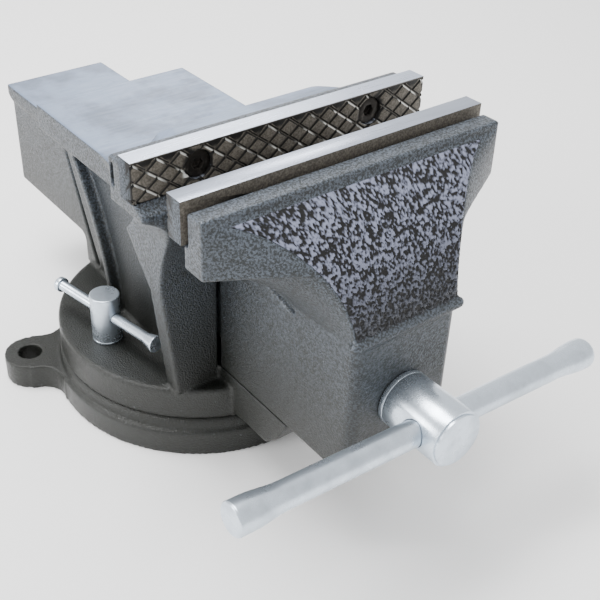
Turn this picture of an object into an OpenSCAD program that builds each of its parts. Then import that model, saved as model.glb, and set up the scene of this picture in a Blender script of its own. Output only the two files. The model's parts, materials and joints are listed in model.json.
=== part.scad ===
// Bench vise on a locking swivel base, with an anvil behind the fixed jaw.
// Millimetres. +Z is up, +X runs along the jaws and the handle is on the -Y side.
// The origin is the centre of the swivel base's underside, on the swivel axis.

/* [Jaws] */
// Width of the jaw plates
jaw_w = 200; // [160:1:250]
// Height of the jaw plates' top edges above the bench
jaw_top = 228; // [210:1:280]
// Distance from the swivel axis forward to the fixed plate's gripping face
jaw_reach = 96; // [80:1:120]
// Distance between the jaw plates in the stored position
rest_opening = 35; // [10:1:60]
// Distance between the jaw plates when fully open
max_opening = 200; // [120:1:200]
// Thickness of a jaw plate
plate_t = 12; // [8:0.5:16]
// Height of a jaw plate
plate_h = 24; // [18:0.5:34]
// Distance between the two screws of a plate
screw_pitch = 118; // [90:1:150]
// Width of the relief slot behind the moving plate
relief_w = 3.5; // [2:0.5:5]
// How far the jaw castings stay below the plates' top edges
casting_drop = 4.5; // [2:0.5:8]

/* [Moving jaw] */
// Thickness of the moving jaw's head behind its plate
head_t = 16; // [12:0.5:24]
// Depth of the moving jaw's two ears below its casting's top
ear_h = 33; // [26:1:40]
// Width of the curved front shield at its top
shield_w = 168; // [120:1:200]
// Distance from the moving plate's back to the slide box's front face
shield_reach = 60; // [50:1:70]
// Radius of the shield's bulging front
shield_r = 100; // [85:1:160]
// Radius of the shield's edges where they spread from the slide box
flank_r = 70; // [68:1:90]
// Radius of the head's lower outline between the slide box and the ears
web_r = 130; // [110:1:160]
// Radius of the bead along the shield's lower edge
bead_r = 3.2; // [2:0.1:5]

/* [Slide] */
// Width of the slide's front box
box_w = 72; // [64:1:84]
// Height of the slide's front box
box_h = 92; // [80:1:100]
// Length of the slide's front box
box_len = 124; // [100:1:125]
// Width of the guided bar behind the box
bar_w = 67; // [56:1:72]
// Height of the guided bar
bar_h = 60; // [50:1:70]
// Wall of the slide casting
slide_wall = 9; // [6:0.5:12]
// Sliding clearance between the slide and its ways
way_gap = 0.3; // [0.3:0.1:0.8]

/* [Fixed body] */
// Width of the anvil face
anvil_w = 118; // [100:1:140]
// Height of the anvil face above the bench
anvil_top = 174; // [166:1:190]
// Distance from the swivel axis back to the anvil's rear edge
anvil_rear = 111; // [90:1:125]
// Thickness of the anvil slab
anvil_t = 18; // [14:1:24]
// Width of the tail's top face
tail_w = 82; // [80:1:96]
// Distance from the swivel axis back to the tail's rear edge
tail_rear = 206; // [200:1:240]
// Width of the column above the swivel disc
column_w = 100; // [94:1:106]
// Thickness of the upright rib at the column's rear edge
rib_t = 5.5; // [4:0.5:8]
// Width of the column's front flange at its foot
flange_w = 134; // [120:1:140]

/* [Swivel base] */
// Diameter of the base
base_d = 208; // [180:1:250]
// Thickness of the base's rim and of its lugs
rim_t = 18.5; // [14:0.5:24]
// Height of the base's turning face above the bench
base_h = 27; // [24:0.5:32]
// Diameter of the swivel disc under the body
disc_d = 199; // [170:1:240]
// Distance from the swivel axis to a mounting hole
lug_reach = 122; // [110:1:150]
// Diameter of a mounting hole
lug_hole = 16; // [10:0.5:18]
// Direction of the left lug, counter-clockwise from +X
lug_angle = 153.7; // [0:0.1:359]
// Diameter of the base's central bore
pivot_bore = 20.16; // [16.16:0.5:24.16]

/* [Swivel locks] */
// Distance from the swivel axis to each lock bolt
lock_reach = 74; // [70:1:80]
// Diameter of a lock bolt's shank
lock_bolt_d = 12; // [10:1:14]
// Diameter of a lock nut
lock_nut_d = 20; // [18:0.5:26]
// Height of a lock nut
lock_nut_h = 33; // [30:1:40]
// Diameter of a lock nut's tommy bar
tommy_d = 7; // [6:0.5:8]
// Length of a tommy bar
tommy_len = 100; // [70:1:104]
// Direction of the left tommy bar, counter-clockwise from +X
tommy_angle = 101; // [95:1:105]

/* [Spindle and handle] */
// Outside diameter of the spindle's screw
screw_d = 26; // [20:1:28]
// Diameter of the spindle's plain neck
neck_d = 28; // [24:1:30]
// Diameter of the spindle's head
boss_d = 34; // [32:1:40]
// Length of the spindle's head
boss_len = 40; // [36:1:50]
// Diameter of the handle bar
handle_d = 15; // [12:0.5:17]
// Diameter of the handle bar's swollen ends
handle_end_d = 18.5; // [16:0.5:24]
// Length of the handle bar
handle_len = 254; // [200:1:300]
// Tilt of the stored handle, right end down
handle_tilt = 3.1; // [0:0.1:30]
// Offset of the stored handle along its own length
handle_shift = -4; // [-40:1:40]

/* [Hidden] */
$fn = 96;

// Colours
PAINT = [0.22, 0.23, 0.24];
STEEL = [0.66, 0.68, 0.7];
ZINC = [0.78, 0.81, 0.85];
DARK_STEEL = [0.3, 0.29, 0.27];

eps = 0.01;
run_gap = 0.08;
turn_gap = 0.2;
air = 0.4;
cut = 500;

// Heights
casting_top = jaw_top - casting_drop;
disc_bottom = base_h + turn_gap;
disc_top = base_h + 23;
box_bottom = disc_top + 9;
box_top = box_bottom + box_h;
spindle_z = box_bottom + box_h / 2 - 1.7;
bar_bottom = spindle_z - 25.3;
bar_top = bar_bottom + bar_h;
slab_bottom = anvil_top - anvil_t;
plate_bottom = jaw_top - plate_h;
screw_z = jaw_top - plate_h / 2;

// Places along the slide axis
fixed_face = -jaw_reach;
fixed_back = fixed_face + plate_t;
moving_face = fixed_face - rest_opening;
moving_back = moving_face - plate_t;
head_front = moving_back - head_t;
box_front = moving_back - shield_reach;
box_rear = box_front + box_len;
column_front = fixed_back + 6;
pocket_depth = box_rear + rest_opening + 2 - column_front;
head_back = fixed_back + 13;
rib_head = anvil_rear - 43;
rib_foot = rib_head - 42;
core_rear = disc_d / 2 - 5;
bar_rear = tail_rear - rest_opening - 6;

// Plate screws
screw_r = 4;
screw_head_r = 8;
screw_head_h = 5;
screw_sink = 1.5;
screw_len = 24;
pad_r = 9;
pad_drop = 6;

// Base and lug shapes
lug_r = 18;
slot_neck = lock_bolt_d + 1.5;
slot_w = 26;
slot_floor = 6;
slot_lip = 16;
core_r = 40;

// Lock hardware
lock_washer_t = 2;
lock_nut_z = disc_top + lock_washer_t;
tommy_z = lock_nut_z + lock_nut_h - 15;
tommy_head_r = 5.2;
tommy_flare_r = 6;

// Spindle
washer_t = 3;
front_wall = 16;
boss_y = box_front - washer_t - turn_gap;
boss_end = boss_y - boss_len;
handle_y = boss_y - boss_len + 17;
neck_end = box_front + front_wall + 36;
screw_end = bar_rear - 10;
nut_len = 50;
nut_w = 40;
nut_front = column_front + pocket_depth - 4;
nut_head_r = 8;
nut_y = min(nut_front + 22, -pivot_bore / 2 - nut_head_r - 2);
nut_bolt_r = 5;
nut_floor = bar_bottom - way_gap;

// A closed outline in Y and Z, drawn out from x0 to x1.
module along_x(x0, x1) {
    translate([x0, 0, 0])
        rotate([90, 0, 90])
            linear_extrude(x1 - x0)
                children();
}

// A closed outline in X and Z, drawn out from y0 to y1.
module along_y(y0, y1) {
    translate([0, y1, 0])
        rotate([90, 0, 0])
            linear_extrude(y1 - y0)
                children();
}

// A block centred on X, given its width and its Y and Z limits.
module block(w, y0, y1, z0, z1) {
    translate([-w / 2, y0, z0])
        cube([w, y1 - y0, z1 - z0]);
}

// A cylinder along Y from y0 to y1 at height z.
module rod_y(r, y0, y1, z = spindle_z, x = 0) {
    translate([x, y0, z])
        rotate([-90, 0, 0])
            cylinder(r = r, h = y1 - y0);
}

// A disc with its top edge rounded.
module round_disc(r, h, e) {
    rotate_extrude() {
        square([r - e, h]);
        square([r, h - e]);
        translate([r - e, h - e])
            intersection() {
                circle(e);
                square(e);
            }
    }
}

// A square outline with its two lower corners rounded.
module front_rounded(w, len, r) {
    union() {
        translate([-w / 2, r])
            square([w, len - r]);
        translate([-w / 2 + r, 0])
            square([w - 2 * r, r + eps]);
        for (s = [-1, 1])
            translate([s * (w / 2 - r), r])
                circle(r);
    }
}

// ---------------------------------------------------------------- swivel base

// One mounting lug with its hollow flanks, along +X.
module lug_outline() {
    fillet = 16;
    neck = lug_r + 1;
    root = base_d / 2;
    difference() {
        union() {
            translate([lug_reach, 0])
                circle(lug_r);
            translate([0, -neck])
                square([lug_reach, 2 * neck]);
            translate([root * 0.8, -neck - fillet])
                square([root * 0.2 + 8, 2 * (neck + fillet)]);
        }
        for (s = [-1, 1])
            translate([root + 11, s * (neck + fillet)])
                circle(fillet);
        for (s = [-1, 1])
            translate([root + 11, s * (neck + fillet) - (s < 0 ? fillet : 0)])
                square(fillet);
    }
}

module swivel_base() {
    shoulder = 6;
    color(PAINT)
        difference() {
            union() {
                cylinder(r = base_d / 2, h = rim_t - 1);
                round_disc(base_d / 2, rim_t, 1.5);
                round_disc(base_d / 2 - 3, base_h, shoulder);
                for (a = [0, 180])
                    rotate(lug_angle + a)
                        linear_extrude(rim_t)
                            lug_outline();
            }
            for (a = [0, 180])
                rotate(lug_angle + a)
                    translate([lug_reach, 0, -eps])
                        cylinder(d = lug_hole, h = rim_t + 1);
            translate([0, 0, -eps])
                cylinder(d = pivot_bore, h = base_h + 1);
            translate([0, 0, -eps])
                cylinder(r = pivot_head_r + 1, h = pivot_head_z + pivot_head_h + turn_gap);
            // Ring-shaped T slot for the two lock bolts.
            rotate_extrude() {
                translate([lock_reach - slot_w / 2, slot_floor])
                    square([slot_w, slot_lip - slot_floor]);
                translate([lock_reach - slot_neck / 2, slot_lip - eps])
                    square([slot_neck, base_h]);
            }
        }
}

// Pivot bolt up through the base into the swivel disc.
pivot_d = pivot_bore - 2 * run_gap;
pivot_head_r = 15;
pivot_head_h = 8;
pivot_washer_t = 2;
pivot_head_z = 0.5;
pivot_len = 19;

module pivot_bolt() {
    top = disc_bottom + pivot_len;
    color(ZINC)
        union() {
            translate([0, 0, pivot_head_z])
                cylinder(r = pivot_head_r - 1, h = pivot_head_h - pivot_washer_t, $fn = 6);
            translate([0, 0, pivot_head_z + 1])
                cylinder(d = pivot_d, h = top - pivot_head_z - 1);
        }
}

module pivot_washer() {
    color(ZINC)
        translate([0, 0, pivot_head_z + pivot_head_h - pivot_washer_t])
            difference() {
                cylinder(r = pivot_head_r, h = pivot_washer_t);
                translate([0, 0, -1])
                    cylinder(d = pivot_d + 2 * run_gap, h = pivot_washer_t + 2);
            }
}

// ----------------------------------------------------------------- fixed body

// Height at which the head starts to spread from the flange.
head_low = plate_bottom - 77;
lip_out = 8.4;
lip_low = plate_bottom - 15;
waist = flange_w / 2 + 9;

// Side outline of the fixed jaw's head, in Y and Z, with a hollow front.
module fixed_head_side() {
    reach = column_front - fixed_face + lip_out;
    rise = lip_low - head_low;
    hollow_r = (reach * reach + rise * rise) / (2 * reach);
    difference() {
        polygon([
            [fixed_back, casting_top],
            [fixed_back, plate_bottom],
            [fixed_face, plate_bottom],
            [fixed_face - lip_out, plate_bottom - 5],
            [fixed_face - lip_out, lip_low],
            [column_front, head_low],
            [column_front + 13, head_low],
            [head_back + 30, slab_bottom],
            [head_back + 2, plate_bottom - 16],
            [head_back, plate_bottom],
            [head_back, casting_top - 1.5],
            [head_back - 1.5, casting_top]
        ]);
        translate([column_front - hollow_r, head_low])
            circle(hollow_r, $fn = 180);
    }
}

// Front outline of the fixed jaw's head, with hollow flanks, in X and Z.
module fixed_head_front() {
    half = jaw_w / 2 - 1;
    flare = 34;
    flare_z = lip_low - 25;
    corner = 1.5;
    difference() {
        polygon([
            [-half, head_low],
            [half, head_low],
            [half, casting_top - corner],
            [half - corner, casting_top],
            [corner - half, casting_top],
            [-half, casting_top - corner]
        ]);
        for (s = [-1, 1])
            translate([s * (waist + flare), flare_z])
                circle(flare);
        for (s = [-1, 1])
            translate([s * (waist + flare) - flare, head_low - 1])
                square([2 * flare, flare_z - head_low + 1]);
    }
}

// Flange down the column's front, wider at the top.
module column_flange() {
    foot = flange_w / 2;
    along_y(column_front, column_front + 13)
        polygon([
            [-foot, disc_top - 1],
            [foot, disc_top - 1],
            [waist, head_low + 1],
            [-waist, head_low + 1]
        ]);
}

// Y of the column's rear edge at a given height.
function rib_y(z) =
    rib_foot + (rib_head - rib_foot) * pow((z - disc_top) / (slab_bottom - disc_top), 1.8);

// Side outline of the column, from its front to its curved rear edge moved by d.
module column_side(front, d) {
    steps = 12;
    rise = slab_bottom - disc_top;
    edge = [for (i = [0 : steps]) let (z = disc_top + rise * i / steps) [rib_y(z) + d, z]];
    polygon(concat(
        [[front, slab_bottom + 1], [front, disc_top - 1], [edge[0][0], disc_top - 1]],
        edge,
        [[edge[steps][0], slab_bottom + 1]]
    ));
}

module column() {
    steps = 12;
    rise = slab_bottom - disc_top;
    along_x(-column_w / 2, column_w / 2)
        column_side(column_front, -1);
    // Rib along the rear edge.
    along_x(-anvil_w / 2 + 1, anvil_w / 2 - 1)
        difference() {
            column_side(rib_foot - 20, 0);
            translate([-rib_t, 0])
                column_side(rib_foot - 30, 0);
        }
}

slope_top = fixed_back + 32;
slope_foot = slope_top + 79;
slope_drop = 5;

// Radius of the arc that leaves the anvil's face at slope_foot and rises through (y, z).
function slope_radius(y, z) =
    let (run = slope_foot - y, rise = z - anvil_top)
        (run * run + rise * rise) / (2 * rise);

function slope_arc(y, r) =
    anvil_top + r - sqrt(r * r - pow(min(slope_foot - y, r), 2));

// Height of the slope's middle part, which ends in a narrow band behind the jaw's bar.
function slope_middle(y) =
    let (t = (slope_top - y) / (slope_top - head_back))
        y > slope_top
            ? slope_arc(y, slope_radius(slope_top, casting_top - slope_drop))
            : casting_top - slope_drop + min(t, 1) * (slope_drop - 0.5);

// Height of the slope's two wings, which run out to the ends of the bar.
function slope_wing(y) =
    slope_arc(max(y, head_back), slope_radius(head_back, casting_top - slope_drop));

function ease(t) = let (c = max(0, min(1, t))) c * c * (3 - 2 * c);

function slope_height(x, y) =
    let (s = ease((abs(x) - anvil_w / 2 + 6) / 24))
        slope_middle(y) * (1 - s) + slope_wing(y) * s;

// Half width of the slope, which flares towards the bar.
function slope_half(y) =
    let (t = (slope_foot - y) / (slope_foot - head_back))
        anvil_w / 2 + (jaw_w / 2 - 3 - anvil_w / 2) * pow(min(t, 1), 1.6);

// Hollow slope that joins the anvil's face to the fixed jaw's bar: a grid of points over a
// narrower flat underside inside the column, closed by two leaning flanks.
module anvil_slope() {
    rows = 18;
    columns = 24;
    n = columns + 1;
    count = (rows + 1) * n;
    start = head_back - 3;
    low = min(plate_bottom - 70, slab_bottom - 20);
    low_half = column_w / 2 - 1;
    places = [
        for (i = [0 : rows])
            for (j = [0 : columns])
                let (y = start + (slope_foot - start) * i / rows)
                    [(2 * j / columns - 1) * slope_half(y), y]
    ];
    top = [for (p = places) [p[0], p[1], slope_height(p[0], p[1])]];
    base = [
        for (i = [0 : rows])
            for (j = [0 : columns])
                [(2 * j / columns - 1) * low_half, places[i * n + j][1], low]
    ];
    skin = [
        for (i = [0 : rows - 1])
            for (j = [0 : columns - 1])
                let (a = i * n + j, b = a + 1, c = b + n, d = a + n)
                    for (f = [[a, d, c], [a, c, b], [a + count, c + count, d + count],
                        [a + count, b + count, c + count]])
                        f
    ];
    ends = [
        for (j = [0 : columns - 1])
            let (a = j, b = j + 1, c = rows * n + j, d = c + 1)
                for (f = [[a, b, b + count], [a, b + count, a + count],
                    [d, c, c + count], [d, c + count, d + count]])
                    f
    ];
    sides = [
        for (i = [0 : rows - 1])
            let (a = i * n, b = a + n, c = a + columns, d = c + n)
                for (f = [[b, a, a + count], [b, a + count, b + count],
                    [c, d, d + count], [c, d + count, c + count]])
                    f
    ];
    polyhedron(concat(top, base), concat(skin, ends, sides));
}

module anvil() {
    block(anvil_w, fixed_back + 10, anvil_rear, slab_bottom, anvil_top);
}

// Tail box that covers the slide behind the column.
tail_top = anvil_top - 23;
tail_lip = 11;
tail_bottom = nut_floor - 5.7;
core_fillet = 8;

module tail() {
    side_w = tail_w - 3;
    lip_out = 4.5;
    block(tail_w, anvil_rear - 12, tail_rear, tail_top - tail_lip + 3, tail_top);
    block(side_w, anvil_rear - 12, tail_rear - lip_out, tail_bottom, tail_top - 1);
    // Core of the body, down to the disc.
    block(side_w, rib_foot - 30, core_rear, disc_top - 1, slab_bottom + 1);
    block(side_w, core_rear - 1, anvil_rear, tail_bottom, slab_bottom + 1);
    along_x(-side_w / 2, side_w / 2)
        difference() {
            translate([core_rear - 1, tail_bottom - core_fillet])
                square([core_fillet + 1, core_fillet + 1]);
            translate([core_rear + core_fillet, tail_bottom - core_fillet])
                circle(core_fillet);
        }
    along_x(-tail_w / 2, tail_w / 2)
        polygon([
            [anvil_rear, tail_top - tail_lip + 3],
            [tail_rear, tail_top - tail_lip + 3],
            [tail_rear - lip_out, tail_top - tail_lip],
            [anvil_rear, tail_top - tail_lip]
        ]);
}

// Bracket that runs forward from the disc, just under the slide's box.
module guide_bracket() {
    tip = column_front - 70;
    nose = 13;
    top = box_bottom - way_gap;
    low = disc_bottom + 4;
    along_x(-box_w / 2, box_w / 2)
        difference() {
            polygon([
                [column_front + 10, top],
                [tip, top],
                [tip + 2, top - 5],
                [tip + 9, low + 10],
                [tip + 20, low],
                [column_front - 26, low],
                [column_front + 10, disc_bottom + 1]
            ]);
            translate([column_front - 18, low - 40.5])
                circle(40);
        }
    // Keeps the bracket's root solid down to the disc.
    block(box_w, column_front - 16, column_front + 12, disc_bottom, top);
}

groove_depth = 3.5;

module fixed_jaw_body() {
    pocket_w = box_w + 2 * way_gap;
    tunnel_w = bar_w + 2 * way_gap;
    color(PAINT)
        difference() {
            union() {
                translate([0, 0, disc_bottom])
                    round_disc(disc_d / 2, disc_top - disc_bottom, 2.5);
                column();
                column_flange();
                anvil();
                tail();
                guide_bracket();
                intersection() {
                    along_x(-jaw_w / 2, jaw_w / 2)
                        fixed_head_side();
                    along_y(fixed_face - 20, fixed_back + 60)
                        fixed_head_front();
                }
                anvil_slope();
            }
            // Front pocket for the slide's box, and the ways for its bar.
            block(pocket_w, column_front - 1, column_front + pocket_depth,
                box_bottom - way_gap, box_top + way_gap);
            block(tunnel_w, column_front - 1, tail_rear + 1, nut_floor, bar_top + way_gap);
            // Clears the slide's box under the jaw's overhang.
            block(pocket_w, fixed_face - 30, column_front, box_bottom - way_gap, box_top + way_gap);
            // Bolt holes.
            for (s = [-1, 1])
                translate([s * lock_reach, 0, disc_bottom - 1])
                    cylinder(d = lock_bolt_d, h = disc_top);
            translate([0, 0, disc_bottom - 1])
                cylinder(d = pivot_d, h = pivot_len + 1);
            translate([0, nut_y, disc_bottom - 1])
                cylinder(r = nut_bolt_r + 0.5, h = nut_floor);
            translate([0, nut_y, disc_bottom - 1])
                cylinder(r = nut_head_r + 1, h = nut_head_top - disc_bottom + 1);
            for (s = [-1, 1])
                rod_y(screw_r, fixed_back - 1, fixed_back + screw_len - plate_t + 3, screw_z,
                    s * screw_pitch / 2);
            // Upright slot in each end of the head.
            for (s = [-1, 1])
                translate([s * jaw_w / 2 - 7, fixed_back + 8.5, casting_top - 18])
                    cube([14, 3, 14]);
            // Slanted groove in each side of the core.
            for (s = [-1, 1])
                along_x(s * (tail_w - 3) / 2 - groove_depth, s * (tail_w - 3) / 2 + groove_depth)
                    polygon([
                        [core_rear - 22, disc_top + 1],
                        [core_rear - 16, disc_top + 1],
                        [anvil_rear + 4.5, tail_top - tail_lip - 7],
                        [anvil_rear + 2, tail_top - tail_lip - 7]
                    ]);
            // Alignment mark on the disc's edge.
            rotate(lug_angle + 97)
                translate([disc_d / 2 - 1, -6, disc_bottom + 6])
                    cube([4, 12, 1.6]);
        }
}

// ----------------------------------------------------------------- jaw plates

groove_pitch = 14;
groove_lean = 53;
groove_d = 1.4;

// Diamond grooves on a plate's gripping face, which is the plane y = 0 with the plate at y < 0.
module diamond_grooves() {
    half = jaw_w / 2 + plate_h;
    turns = ceil(half / groove_pitch);
    for (lean = [-1, 1])
        for (i = [-turns : turns])
            translate([i * groove_pitch, 0, plate_h / 2])
                rotate([0, lean * groove_lean, 0])
                    rotate([0, 0, 45])
                        cube([groove_d, groove_d, 3 * plate_h], center = true);
}

// A jaw plate with its gripping face on the plane y = 0.
module jaw_plate() {
    difference() {
        translate([-jaw_w / 2, -plate_t, 0])
            cube([jaw_w, plate_t, plate_h]);
        intersection() {
            diamond_grooves();
            translate([-jaw_w / 2 - 1, -5, -1])
                cube([jaw_w + 2, 10, plate_h]);
        }
        for (s = [-1, 1])
            translate([s * screw_pitch / 2, 0, plate_h / 2])
                rotate([90, 0, 0]) {
                    translate([0, 0, -1])
                        cylinder(r = screw_r + 0.5, h = plate_t + 2);
                    translate([0, 0, -1])
                        cylinder(r = screw_head_r + 0.3, h = screw_head_h + screw_sink + 1);
                }
    }
}

// A socket-head screw along -Y, with its head's face at y = 0.
module plate_screw() {
    rotate([90, 0, 0])
        difference() {
            union() {
                cylinder(r = screw_head_r - 0.2, h = screw_head_h);
                cylinder(r = screw_r - 0.1, h = screw_len - screw_sink);
            }
            translate([0, 0, -1])
                cylinder(r = 3.6, h = 4, $fn = 6);
        }
}

module plate_screws() {
    for (s = [-1, 1])
        translate([s * screw_pitch / 2, 0, screw_z])
            plate_screw();
}

module moving_jaw_plate() {
    color(STEEL)
        translate([0, moving_face, plate_bottom])
            jaw_plate();
}

module fixed_jaw_plate() {
    color(STEEL)
        translate([0, fixed_face, plate_bottom])
            mirror([0, 1, 0])
                jaw_plate();
}

module moving_jaw_screws() {
    color(DARK_STEEL)
        translate([0, moving_face - screw_sink, 0])
            plate_screws();
}

module fixed_jaw_screws() {
    color(DARK_STEEL)
        translate([0, fixed_face + screw_sink, 0])
            mirror([0, 1, 0])
                plate_screws();
}

// ----------------------------------------------------------------- moving jaw

// Centre of a circle of radius r through a and b, on the left of the way from a to b.
function arc_centre(a, b, r) =
    let (m = (a + b) / 2, d = b - a, h = norm(d) / 2)
        m + [-d[1], d[0]] / norm(d) * sqrt(r * r - h * h);

head_half = jaw_w / 2 - 1.5;
ear_bottom = casting_top - ear_h;
shield_top = casting_top - 5.5;
shield_centre = arc_centre([head_front - 1, shield_top], [box_front + 1, box_top], shield_r);
web_top_half = head_half - 12.5;
web_centre = arc_centre([web_top_half, ear_bottom], [box_w / 2 + 2, box_top], web_r);

// Half width of the shield's front edge, its Y, and half width of the web behind it, at height z.
function shield_half(z) =
    let (rise = min(z - box_top, flank_r))
        min(shield_w / 2, box_w / 2 + flank_r - sqrt(flank_r * flank_r - rise * rise));
function shield_y(z) = shield_centre[0] - sqrt(shield_r * shield_r - pow(z - shield_centre[1], 2));
function web_half(z) = web_centre[0] - sqrt(web_r * web_r - pow(z - web_centre[1], 2));

// Part of the jaw's head between two heights: the bulging shield in front, the head's back
// behind, and two flanks that run from the shield's edges to the head's outline.
module flank_loft(z0, z1, steps, to_ears) {
    n = 6;
    points = [
        for (i = [0 : steps])
            let (
                z = z0 + (z1 - z0) * i / steps,
                h = shield_half(z),
                w = to_ears ? head_half : web_half(z)
            )
                for (p = [
                    [-h, shield_y(z)], [h, shield_y(z)], [w, head_front],
                    [w, moving_back], [-w, moving_back], [-w, head_front]
                ])
                    [p[0], p[1], z]
    ];
    walls = [
        for (i = [0 : steps - 1])
            for (j = [0 : n - 1])
                let (k = (j + 1) % n, a = i * n + j, b = i * n + k, c = b + n, d = a + n)
                    for (f = [[a, d, c], [a, c, b]])
                        f
    ];
    bottom = [for (j = [0 : n - 1]) j];
    top = [for (j = [n - 1 : -1 : 0]) steps * n + j];
    polyhedron(points, concat(walls, [bottom, top]));
}

module moving_jaw() {
    wall = slide_wall;
    color(PAINT)
        difference() {
            union() {
                block(2 * head_half, head_front, moving_back, ear_bottom, casting_top);
                flank_loft(box_top - 1, ear_bottom + 0.5, 16, false);
                flank_loft(ear_bottom, shield_top, 10, true);
                translate([0, box_front, box_bottom])
                    linear_extrude(box_h)
                        front_rounded(box_w, box_len, 7);
                block(bar_w, box_rear - 1, bar_rear, bar_bottom, bar_top);
                translate([-box_w / 2, box_front + 1, box_top])
                    rotate([0, 90, 0])
                        cylinder(r = bead_r, h = box_w);
                for (s = [-1, 1])
                    translate([s * box_w / 2, box_front + 1, box_top])
                        sphere(bead_r, $fn = 48);
            }
            // Hollow of the slide, open underneath.
            block(box_w - 2 * wall, box_front + front_wall, box_rear - wall,
                box_bottom - 1, box_top - wall - 1);
            block(bar_w - 2 * wall, box_front + front_wall + 1, bar_rear + 1,
                bar_bottom - 30, bar_top - wall - 1);
            // Relief slot behind the plate, but for a pad round each screw.
            difference() {
                block(jaw_w + 2, moving_back - relief_w, moving_back + 1,
                    plate_bottom, casting_top + 1);
                for (s = [-1, 1])
                    intersection() {
                        rod_y(pad_r, moving_back - relief_w - 1, moving_back, screw_z,
                            s * screw_pitch / 2);
                        block(jaw_w, moving_back - relief_w - 2, moving_back + 1,
                            plate_bottom - 1, casting_top - pad_drop);
                    }
            }
            // Spindle hole and screw holes.
            rod_y(neck_d / 2 + run_gap, box_front - 5, box_front + front_wall + 2);
            for (s = [-1, 1])
                rod_y(screw_r, moving_back - screw_len + plate_t - 2, moving_back + 1, screw_z,
                    s * screw_pitch / 2);
            // Small reliefs where the flanks meet the slide's box.
            for (s = [-1, 1])
                along_x(s > 0 ? box_w / 2 - 3 : -box_w / 2 - 1, s > 0 ? box_w / 2 + 1 : -box_w / 2 + 3)
                    polygon([
                        [moving_back - 10, box_top - 6],
                        [moving_back + 18, box_top - 2],
                        [moving_back + 16, box_top - 4],
                        [moving_back - 7, box_top - 9]
                    ]);
        }
}

// -------------------------------------------------------------------- spindle

collar_y = box_front + front_wall + 26;
collar_len = 9;
pin_r = 2.5;

module spindle() {
    chamfer = 1.5;
    color(ZINC)
        difference() {
            union() {
                rod_y(boss_d / 2, boss_end + chamfer, boss_y);
                rod_y(boss_d / 2 - chamfer, boss_end, boss_end + chamfer + 1);
                rod_y(neck_d / 2, boss_y - 1, neck_end);
                rod_y(screw_d / 2, neck_end - 1, screw_end);
            }
            translate([0, handle_y, spindle_z])
                rotate([0, handle_tilt, 0])
                    rotate([0, 90, 0])
                        cylinder(d = handle_d + 2 * air, h = boss_d + 4, center = true);
            translate([0, collar_y + collar_len / 2, spindle_z])
                cylinder(r = pin_r, h = 2 * neck_d, center = true);
        }
}

// A flat ring round the spindle's neck.
module neck_ring(r, y0, y1) {
    difference() {
        rod_y(r, y0, y1);
        rod_y(neck_d / 2 + run_gap, y0 - 1, y1 + 1);
    }
}

module thrust_washer() {
    color(ZINC)
        neck_ring(boss_d / 2, box_front - washer_t - turn_gap, box_front - turn_gap);
}

module spring_washer() {
    y = box_front + front_wall;
    color(ZINC)
        neck_ring(neck_d / 2 + 7, y, y + 2);
}

// Coil spring between the washer and the collar: a round wire that follows a helix.
module spindle_spring() {
    y = box_front + front_wall + 2;
    wire = 1.7;
    coil_r = neck_d / 2 + 3.5;
    length = collar_y - turn_gap - y;
    turns = 4;
    steps = 36 * turns;
    sides = 10;
    rise = length - 2 * wire;
    points = [
        for (i = [0 : steps])
            let (a = 360 * turns * i / steps, h = wire + rise * i / steps)
                for (j = [0 : sides - 1])
                    let (b = 360 * j / sides, r = coil_r + wire * cos(b))
                        [r * cos(a), r * sin(a), h + wire * sin(b)]
    ];
    walls = [
        for (i = [0 : steps - 1])
            for (j = [0 : sides - 1])
                let (k = (j + 1) % sides)
                    [i * sides + j, i * sides + k, (i + 1) * sides + k, (i + 1) * sides + j]
    ];
    first = [for (j = [sides - 1 : -1 : 0]) j];
    last = [for (j = [0 : sides - 1]) steps * sides + j];
    color(DARK_STEEL)
        translate([0, y, spindle_z])
            rotate([-90, 0, 0])
                polyhedron(points, concat(walls, [first, last]));
}

module spindle_collar() {
    color(STEEL)
        difference() {
            rod_y(neck_d / 2 + 6.5, collar_y, collar_y + collar_len);
            rod_y(neck_d / 2, collar_y - 1, collar_y + collar_len + 1);
            translate([0, collar_y + collar_len / 2, spindle_z])
                cylinder(r = pin_r, h = 2 * neck_d, center = true);
        }
}

module collar_pin() {
    color(DARK_STEEL)
        translate([0, collar_y + collar_len / 2, spindle_z])
            cylinder(r = pin_r, h = neck_d + 12, center = true);
}

// One half of the handle bar's outline, out to its swollen end.
module handle_outline(rounding) {
    half = handle_len / 2;
    r0 = handle_d / 2;
    r1 = handle_end_d / 2;
    swell = 30;
    steps = 8;
    slope = [
        for (i = [0 : steps])
            let (t = i / steps)
                [r0 + (r1 - r0) * t * t * (3 - 2 * t), half - swell + (swell - 9) * t]
    ];
    tip = [
        for (i = [0 : steps])
            let (a = 90 * i / steps)
                [r1 - rounding * (1 - cos(a)), half - rounding * (1 - sin(a))]
    ];
    polygon(concat([[0, -1], [r0, -1]], slope, tip, [[0, half]]));
}

module handle_bar() {
    color(ZINC)
        translate([0, handle_y, spindle_z])
            rotate([0, handle_tilt, 0])
                translate([handle_shift, 0, 0])
                    rotate([0, 90, 0]) {
                        rotate_extrude()
                            handle_outline(5);
                        mirror([0, 0, 1])
                            rotate_extrude()
                                handle_outline(1.5);
                    }
}

// ------------------------------------------------------------------------ nut

nut_head_h = 8;
nut_washer_t = 2;
nut_head_top = disc_bottom + 14;

module spindle_nut() {
    color(STEEL)
        difference() {
            union() {
                block(nut_w, nut_front, nut_front + nut_len, nut_floor, spindle_z);
                rod_y(nut_w / 2, nut_front, nut_front + nut_len);
            }
            rod_y(screw_d / 2 + run_gap, nut_front - 1, nut_front + nut_len + 1);
            translate([0, nut_y, nut_floor - 1])
                cylinder(r = nut_bolt_r, h = 10);
        }
}

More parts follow.
